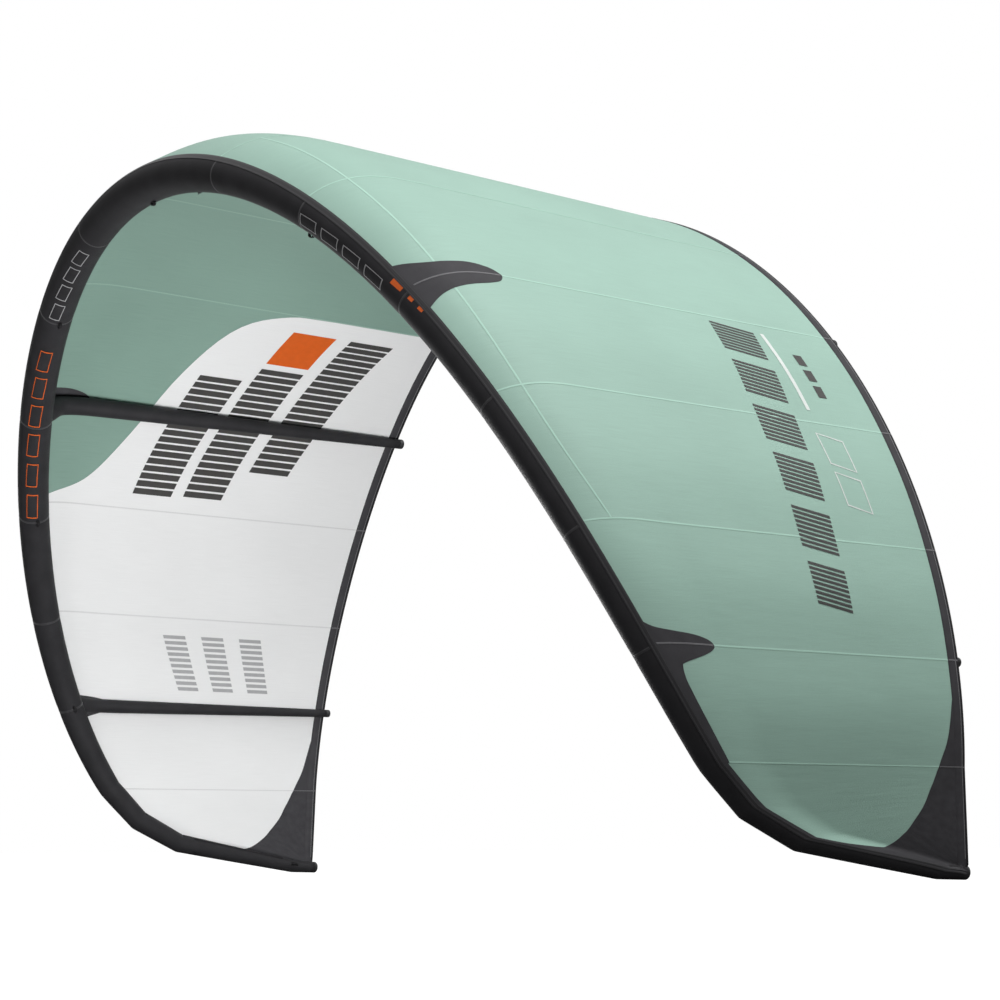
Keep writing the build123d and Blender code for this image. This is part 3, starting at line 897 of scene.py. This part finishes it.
def segment_seams():
    """Rings of stitching where the segments of the sleeve are sewn together."""
    def ribbon(s):
        cut = Cut(s)

        def point(i, j):
            lift = 0.0002 + 0.0006 * (i == 1) - pinch(s)
            return cut.around(2 * pi * j / TUBE_SIDES, lift) + cut.tangent * ((i - 1) * 0.006)

        def uv(i, j):
            return j / TUBE_SIDES * 2 * pi * cut.radius, i / 2

        return surface(3, TUBE_SIDES, point, uv, wrap=True)

    ribbons = [ribbon(side * s) for s in SEAMS[:-1] for side in SIDES]
    sewn("segment_seams", ribbons, dark_thread, 0.0006)


def canopy_hem():
    """The strip that sews the canopy's front edge to the sleeve: two rows of points on each of them."""
    columns = 421
    spots = [mix(-CLOTH_END, CLOTH_END, i / (columns - 1)) for i in range(columns)]

    def point(i, j):
        cut = cut_at(spots[i])
        if j <= 1:
            return cut.seam_point(cut.seam - (0.012 - 0.008 * j) / cut.radius, 0.0016)
        return cut.skin(cut.first + (j - 1) * 0.006 / cut.chord, 0.0036)

    strip = surface(columns, 4, point, lambda i, j: (spots[i], j / 3))
    sewn("canopy_hem", [strip], dark_thread, 0.0008)


ROOT_FLARE, FLARE_START, FLARE_LENGTH = 0.30, 0.03, 0.13


def strut_rings(which, side):
    """Centres and radii of a strut that lies against the canopy, with a flared root."""
    spot, root, end = STRUTS[which]
    cut = cut_at(side * spot)
    stops = []
    for k in range(31):
        point, away = cut.front_curve(mix(0.06, 1, k / 30))
        stops.append(((point - cut.axis).dot(cut.back) / cut.chord, point, away))
    away = cut.outward(cut.flat_point(1) - cut.flat_point(0))
    stops += [(x, cut.flat_point(x), away) for x in (mix(cut.front, 1, k / 24) for k in range(1, 25))]
    rings = []
    for along, point, away in stops:
        flare = 1 + ROOT_FLARE * (1 - smooth_step((along * cut.chord - FLARE_START) / FLARE_LENGTH))
        radius = mix(root, end, max(0, along)) * flare
        rings.append((point - away * (GAP + radius), radius))
    return cut, rings


def strut(name, which, side, inset, material):
    """A strut's inflated tube, this far in from its skin."""
    cut, rings = strut_rings(which, side)
    frames = []
    for i, (centre, radius) in enumerate(rings):
        run = (rings[min(i + 1, len(rings) - 1)][0] - rings[max(i - 1, 0)][0]).normalized()
        across = (cut.tangent - run * cut.tangent.dot(run)).normalized()
        frames.append((centre, radius - inset, across, run.cross(across)))

    def point(i, j):
        centre, radius, across, up = frames[i]
        angle = 2 * pi * j / STRUT_SIDES
        return centre + (across * cos(angle) + up * sin(angle)) * radius

    def uv(i, j):
        return (frames[i][0] - frames[0][0]).length, j / STRUT_SIDES * 0.25

    hose = surface(len(frames), STRUT_SIDES, point, uv, wrap=True)
    return close_ends(joined(name, [hose], [material]))


# -------------------- printed shapes, plain, without lettering
# A printed frame's line width: along the leading edge, as a share of the chord, in degrees round the tube
LINE, LINE_SHARE, LINE_TURN = 0.006, 0.0032, 2.4


def bar(s, along, length, width, lean=0.0, skew=0.0):
    """A slanted bar: where it starts, its length along s, its width across, and how far each slants."""
    far = along + width
    return [(s, along), (s + skew, far), (s + skew + length, far + lean), (s + length, along + lean)]


def stripes(s, along, length, width, lean, pitch, share=0.76, skew=0.0):
    """The same bar cut into stripes."""
    count = round(abs(length) / pitch)
    step, fall = length / count, lean / count
    size = (step * share, width, fall * share, skew)
    return [bar(s + step * i, along + fall * i, *size) for i in range(count)]


def frame_strips(corners, across):
    """A frame just inside a bar, as four strips whose line is LINE wide along s, and this wide across."""
    middle_x, middle_y = sum(x for x, _ in corners) / 4, sum(y for _, y in corners) / 4

    def inside(x, y):
        return x + (LINE if x < middle_x else -LINE), y + (across if y < middle_y else -across)

    inner = [inside(x, y) for x, y in corners]
    return [[corners[i], corners[(i + 1) % 4], inner[(i + 1) % 4], inner[i]] for i in range(4)]


def print_on_canopy(name, outlines, material):
    """Outlines of (s, share of the chord), on both faces."""
    patches(name, outlines, [laid(face, 0.0007) for face in FACES], (0.05, 0.05), material)


def print_on_tube(name, outlines, material):
    """Outlines of (s, degrees round the tube)."""
    def place(s, degrees):
        return cut_at(s).around(radians(degrees), 0.0008 - pinch(s))

    patches(name, outlines, [place], (0.05, 8.0), material)


def canopy_prints():
    """Striped bars, an orange block, dashes, a thin bar and outlined parallelograms."""
    dark = stripes(-2.06, 0.430, -0.80, 0.110, -0.130, 0.047)
    dark += stripes(-1.96, 0.580, -0.89, 0.110, -0.135, 0.047)
    dark += stripes(-1.66, 0.770, -1.00, 0.110, -0.150, 0.047)
    for i in range(6):
        dark += stripes(2.36 + 0.262 * i, 0.662 - 0.0165 * i, 0.20, 0.105, -0.014, 0.0225, 0.6, 0.035)
    dark += [bar(2.51 + 0.1 * i, 0.838, 0.07, 0.022) for i in range(3)]
    print_on_canopy("dark_prints", dark, ink)
    print_on_canopy("orange_print", [bar(-1.66, 0.622, -0.26, 0.110, -0.036)], orange_ink)
    pale = []
    for i in range(3):
        pale += stripes(-3.66, 0.40 + 0.13 * i, -0.33, 0.075, 0.04, 0.033, 0.6)
    print_on_canopy("pale_prints", pale, pale_ink)
    light = [bar(2.39, 0.785, 0.48, 0.010, -0.004)]
    for start in (3.0, 3.21):
        light += frame_strips(bar(start, 0.77, 0.17, 0.07, 0.0, 0.03), LINE_SHARE)
    print_on_canopy("light_prints", light, light_ink)


def tube_prints():
    """Chains of outlined parallelograms along the leading edge, and three orange dashes."""
    orange, grey = [], []
    for i in range(6):
        orange += frame_strips(bar(-1.76 - 0.2 * i, -184, -0.15, 42, 4), LINE_TURN)
    for i in range(4):
        grey += frame_strips(bar(-0.86 - 0.17 * i, -172 - 2 * i, -0.13, 36, 4), LINE_TURN)
        grey += frame_strips(bar(1.54 + 0.17 * i, -124 + 2 * i, 0.13, 36, 4), LINE_TURN)
    orange += [bar(2.22, -70, 0.07, 30, 4), bar(2.34, -64, 0.03, 26, 2), bar(2.41, -62, 0.03, 24, 2)]
    print_on_tube("tube_orange_prints", orange, orange_ink)
    print_on_tube("tube_grey_prints", grey, pale_ink)


# -------------------- small parts
# A webbing loop from the side, as lengths along the sleeve and up from it, and the webbing's section
LOOP_LINE = (
    (-0.0165, 0.0012), (-0.0155, 0.009), (-0.009, 0.0168), (0.009, 0.0168), (0.0155, 0.009),
    (0.0165, 0.0012), (0.0, 0.0008),
)
LOOP_SECTION = (
    (-0.0068, -0.0008), (-0.0068, 0.0008), (0, 0.0011), (0.0068, 0.0008), (0.0068, -0.0008), (0, -0.0011),
)


def loops(name, spots, cad_node):
    """Webbing loops: a flat strap that arches off the sleeve, with its last end folded in underneath."""
    line = curve_through(LOOP_LINE, 5)

    def strap(s):
        cut = Cut(s)
        up, run = -cut.out, cut.tangent
        across = up.cross(run)
        foot = cut.axis + up * (cut.radius + 0.0015)

        def point(i, j):
            x, z = line[i]
            (x0, z0), (x1, z1) = line[max(i - 1, 0)], line[min(i + 1, len(line) - 1)]
            normal = across.cross(run * (x1 - x0) + up * (z1 - z0)).normalized()
            return foot + run * x + up * z + across * LOOP_SECTION[j][0] + normal * LOOP_SECTION[j][1]

        return surface(len(line), 6, point, lambda i, j: (i * 0.0025, j * 0.004), wrap=True)

    obj = joined(name, [strap(s) for s in spots], [webbing_cloth])
    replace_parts(close_ends(obj), cad_node)


ZIP_ANGLE, ZIP_WIDTH, ZIP_INSET = radians(-135), 0.012, 0.070
# Heights above the sleeve, and lengths along the zip
ZIP_BOTTOM, ZIP_TOP, TOOTH_TOP, STOP_TOP = 0.0013, 0.0021, 0.0026, 0.005
STOP_LENGTH, TOOTH_LENGTH, TOOTH_PITCH = 0.005, 0.0012, 0.002


def zip_teeth(side):
    """A coil zip on its tape along the wingtip's straight, with a stop at each end."""
    start, end = (Cut(side * s, straight=True) for s in (K3 + ZIP_INSET, K4 - ZIP_INSET))
    first, last = (cut.around(ZIP_ANGLE * side) for cut in (start, end))
    run = (last - first).normalized()
    away = start.out * cos(ZIP_ANGLE * side) + start.square * sin(ZIP_ANGLE * side)
    across = away.cross(run).normalized()
    up = run.cross(across)
    length = (last - first).length

    def block(x, y, z):
        """A block between two lengths along the zip, two across it and two heights."""
        corners = [first + run * a + across * b + up * c for a in x for b in y for c in z]
        faces = [(0, 1, 3, 2), (4, 6, 7, 5), (0, 4, 5, 1), (2, 3, 7, 6), (0, 2, 6, 4), (1, 5, 7, 3)]
        return corners, faces, [(0.0, 0.0)] * 24

    half = ZIP_WIDTH / 2
    blocks = [block((0, length), (-half, half), (ZIP_BOTTOM, ZIP_TOP))]
    for x in (0, length - STOP_LENGTH):
        blocks.append(block((x, x + STOP_LENGTH), (-0.004, 0.004), (ZIP_TOP, STOP_TOP)))
    for k in range(int((length - 0.012) / TOOTH_PITCH)):
        x, shift = 0.006 + TOOTH_PITCH * k, 0.0004 * (-1) ** k
        blocks.append(block((x, x + TOOTH_LENGTH), (shift - 0.0022, shift + 0.0022), (ZIP_TOP, TOOTH_TOP)))
    obj = joined(f"zip_{SIDE_NAMES[side]}", blocks, [zip_cloth])
    for face in obj.data.polygons:
        face.use_smooth = False
    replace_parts(obj, f"bladder_zip_{SIDE_NAMES[side]}")


# -------------------- build
def nodes(*starts):
    """The names of the CAD nodes that start like this."""
    return [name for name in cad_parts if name.startswith(starts)]


sheet = canopy()
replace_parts(sheet, *nodes("canopy"))
panel_seams()
front_seams()
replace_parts(trailing_band(), *nodes("trailing_band"))
band_stitching()
edge_strips()
for side, label in SIDE_NAMES.items():
    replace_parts(tip_patch(side), f"wingtip_patch_{label}")
for which in STRUTS:
    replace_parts(fin_patches(which), f"fin_patches_{which}")

BLADDER_INSET = 0.003
sleeves = [name for name in nodes("leading_edge", "wingtip_elbow", "wingtip_tube") if "bladder" not in name]
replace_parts(tube("leading_edge", 0.0, END, dacron), *sleeves)
edge_bladder = tube("edge_bladder", BLADDER_INSET, END - 0.02, film)
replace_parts(edge_bladder, "leading_edge_bladder")
segment_seams()
canopy_hem()
for which in STRUTS:
    for side, label in SIDE_NAMES.items():
        sleeve = strut(f"strut_sleeve_{which}_{label}", which, side, 0.0, dacron)
        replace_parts(sleeve, f"strut_{which}_{label}")
        bladder = strut(f"strut_bladder_{which}_{label}", which, side, BLADDER_INSET, film)
    # One CAD node holds both bladders, so the last piece made replaces it
    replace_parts(bladder, f"strut_bladders_{which}")
canopy_prints()
tube_prints()
loops("bridle_webbing", [side * s for s in (C2, P1, S2) for side in SIDES], "bridle_loops")
loops("rear_webbing", [side * K4 for side in SIDES], "rear_line_loops")
loops("leash_webbing", [0.0], "leash_loop")
for side in SIDES:
    zip_teeth(side)

# The CAD nodes that show as they are
DRESSED = (
    (rubber, "strut_caps", "wingtip_end_cap"),
    (zip_metal, "zip_slider"),
    (nylon, "valve_base", "valve_collar", "valve_cap"),
    (silicone, "valve_flap"),
    (steel, "valve_hinge_pin"),
)
for material, *starts in DRESSED:
    for name in nodes(*starts):
        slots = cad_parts[name].data.materials
        slots.clear()
        slots.append(material)


# -------------------- floor, light, camera
def floor():
    """A pale floor that looks white from anywhere, but throws little light up."""
    half, height = 60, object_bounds()[0][2] - 0.004
    mesh = bpy.data.meshes.new("floor")
    corners = [(-half, -half, height), (half, -half, height), (half, half, height), (-half, half, height)]
    mesh.from_pydata(corners, [], [(0, 1, 2, 3)])
    material, tree, bsdf = shader("studio_floor", 0.9, specular=0.0)
    bsdf.inputs["Base Color"].default_value = (0.14, 0.14, 0.14, 1)
    bsdf.inputs["Emission Color"].default_value = (1, 1, 1, 1)
    seen = node(tree, "ShaderNodeLightPath").outputs["Is Camera Ray"]
    tree.links.new(seen, bsdf.inputs["Emission Strength"])
    mesh.materials.append(material)
    placed("floor", mesh)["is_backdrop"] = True


def lamp(name, place, target, size, power):
    """A soft lamp at a place, turned to its target, of this size in metres and power in watts."""
    data = bpy.data.lights.new(name, "AREA")
    data.shape, data.size, data.size_y, data.energy = "RECTANGLE", size[0], size[1], power
    obj = placed(name, data)
    obj.location = place
    obj.rotation_euler = (Vector(target) - Vector(place)).to_track_quat("-Z", "Y").to_euler()
    obj.visible_camera = False


def lights():
    """White all round to the eye, with soft light that comes mostly from above."""
    world = bpy.data.worlds.new("studio")
    bpy.context.scene.world = world
    world.use_nodes = True
    tree = world.node_tree
    light = tree.nodes["Background"]
    height = node(tree, "ShaderNodeSeparateXYZ")
    tree.links.new(node(tree, "ShaderNodeTexCoord").outputs["Generated"], height.inputs[0])
    ramp = node(tree, "ShaderNodeValToRGB")
    for stop, level in zip(ramp.color_ramp.elements, (0.07, 0.66)):
        stop.color = (level, level, level, 1)
    tree.links.new(height.outputs["Z"], ramp.inputs["Fac"])
    tree.links.new(ramp.outputs["Color"], light.inputs["Color"])
    seen = node(tree, "ShaderNodeBackground", Color=(1, 1, 1, 1), Strength=1.0)
    ray, choice = node(tree, "ShaderNodeLightPath"), node(tree, "ShaderNodeMixShader")
    tree.links.new(ray.outputs["Is Camera Ray"], choice.inputs[0])
    tree.links.new(light.outputs[0], choice.inputs[1])
    tree.links.new(seen.outputs[0], choice.inputs[2])
    tree.links.new(choice.outputs[0], tree.nodes["World Output"].inputs["Surface"])
    lamp("key", (4.8, 2.6, 6.6), (0.6, 1.0, -0.6), (9, 8), 750)
    lamp("front_fill", (5.5, -7.0, 0.2), (2.3, 0.2, -1.2), (2.5, 2.5), 80)
    lamp("inner_fill_left", (0.5, 0.25, -2.4), (-3.0, 1.1, -2.1), (2.0, 1.2), 97)
    lamp("inner_fill_right", (-0.5, 0.25, -2.4), (3.0, 1.1, -2.1), (2.0, 1.2), 60)
    lamp("outer_fill_left", (-9.0, 2.0, -1.5), (-3.0, 1.2, -1.8), (4.0, 4.0), 150)


def camera():
    """The photograph's viewing angle: from the right-hand wing's front, just above the floor."""
    data = bpy.data.cameras.new("camera")
    data.lens, data.sensor_width = 126.7, 36
    obj = placed("camera", data)
    azimuth, elevation, roll = radians(61.83), radians(-5.60), radians(-0.25)
    back = Vector((sin(azimuth) * cos(elevation), -cos(azimuth) * cos(elevation), sin(elevation)))
    obj.rotation_mode = "QUATERNION"
    obj.location = (14.336, -5.937, -2.939)
    obj.rotation_quaternion = (-back).to_track_quat("-Z", "Y") @ Quaternion((0, 0, 1), roll)
    data.clip_end = 300
    bpy.context.scene.camera = obj


floor()
lights()
camera()
bpy.context.scene.view_settings.view_transform = "Standard"
